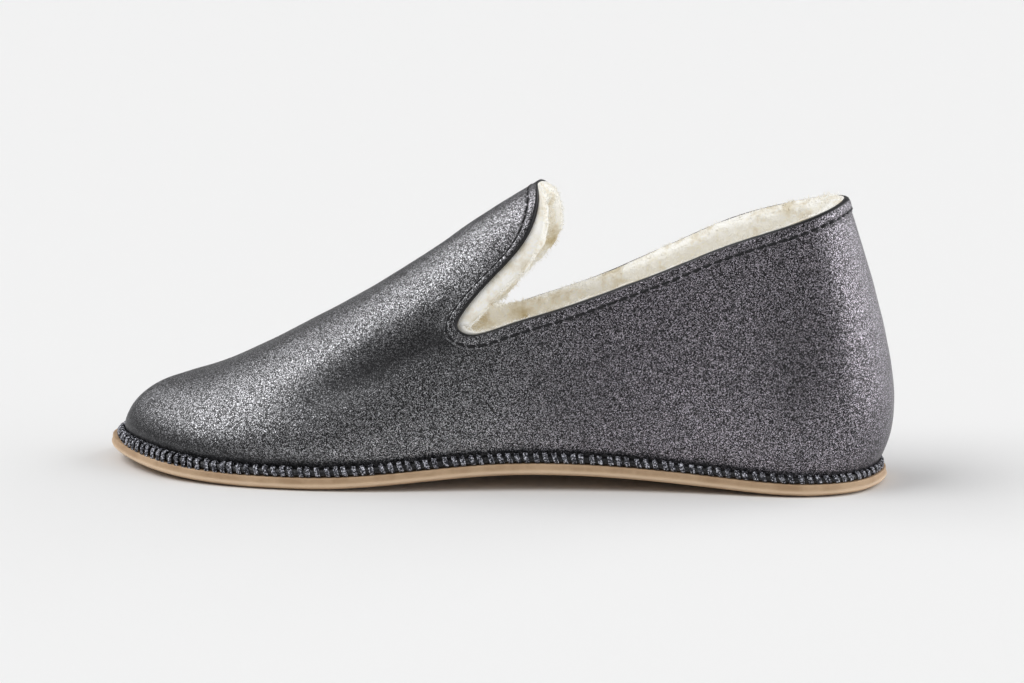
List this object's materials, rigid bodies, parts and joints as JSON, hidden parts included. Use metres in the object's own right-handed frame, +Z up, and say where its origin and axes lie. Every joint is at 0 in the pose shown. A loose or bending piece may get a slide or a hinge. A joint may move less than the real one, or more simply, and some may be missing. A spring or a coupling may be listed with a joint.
{
  "type": "slipper shoe",
  "caption": "Slip-on house slipper for the left foot: soft hollow leather upper with a high throat, bound collar, whip-stitched seam, fleece footbed and thin rubber sole.",
  "frame": {"origin": "on the floor under the middle of the shoe's box", "axes": "+Z up, toe along -Y, heel along +Y, outer side of the foot along +X"},
  "size_m": [0.0912, 0.256, 0.0953],
  "materials": {
    "sole_rubber": "matt tan rubber with a glossy edge line",
    "seam_thread": "dark thread, whip-stitched",
    "fleece": "cream sheepskin pile",
    "sparkle_leather": "charcoal leather with a fine sparkle grain",
    "binding_leather": "folded strip of the same leather"
  },
  "bodies": {
    "root": {"outsole": "sole_rubber", "seam_welt": "seam_thread", "insole": "fleece", "upper": "sparkle_leather", "collar_binding": "binding_leather"}
  },
  "joints": []
}
